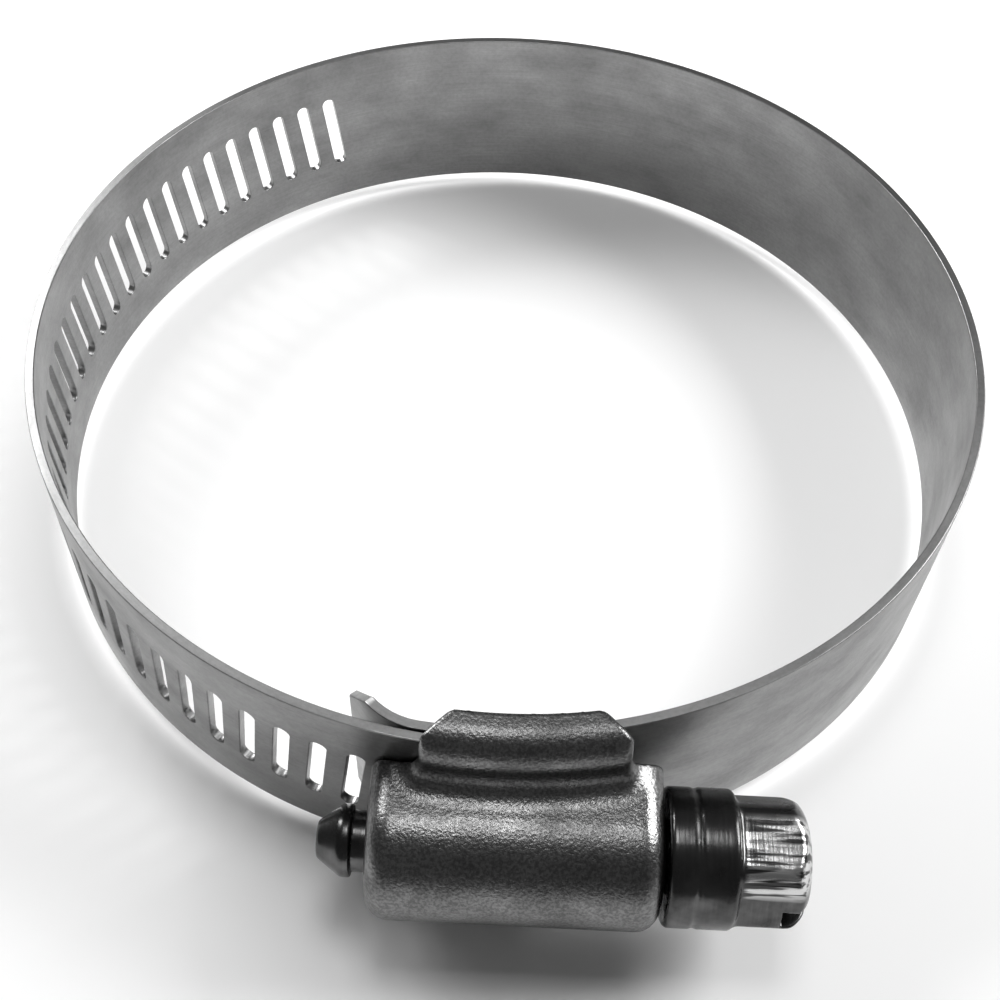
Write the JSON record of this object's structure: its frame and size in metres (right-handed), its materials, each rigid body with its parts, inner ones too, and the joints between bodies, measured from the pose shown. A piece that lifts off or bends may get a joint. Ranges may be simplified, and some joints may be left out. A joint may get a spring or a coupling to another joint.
{
  "type": "worm-drive hose clamp",
  "caption": "Worm-drive hose clamp: a slotted steel band through a stamped housing, tightened by a hex-head screw that walks along the slots.",
  "frame": {"origin": "centre of the bore, half way across the band", "axes": "+Z along the bore's axis, +X along the screw towards its head, and the housing on the -Y side"},
  "size_m": [0.0602, 0.0674, 0.0144],
  "materials": {
    "band": "satin rolled stainless strip",
    "housing": "bright stamped stainless sheet",
    "screw": "dark bright plated steel"
  },
  "bodies": {
    "fixed_end": {"band_plain": "band", "housing": "housing"},
    "moving_half": {"band_slotted": "band"},
    "slotted_end": {"band_tail": "band"},
    "screw": {"worm_screw": "screw"}
  },
  "joints": [
    {"name": "screw_turn", "type": "hinge", "parent": "fixed_end", "child": "screw", "pos_m": [0.0015, -0.03356, 0], "axis": [-1, 0, 0], "range_deg": [-540, 540]},
    {"name": "band_bend_back", "type": "hinge", "parent": "fixed_end", "child": "moving_half", "pos_m": [0.02166, 0.02028, 0], "axis": [0, 0, 1], "range_deg": [-3.12, 3.12]},
    {"name": "band_bend_front", "type": "hinge", "parent": "moving_half", "child": "slotted_end", "pos_m": [-0.02124, -0.02178, 0], "axis": [0, 0, 1], "range_deg": [-3.05, 3.05]}
  ],
  "couplings": [
    {"joint": "band_bend_back", "follows": "screw_turn", "ratio": 0.0057485},
    {"joint": "band_bend_front", "follows": "screw_turn", "ratio": 0.0056275}
  ]
}
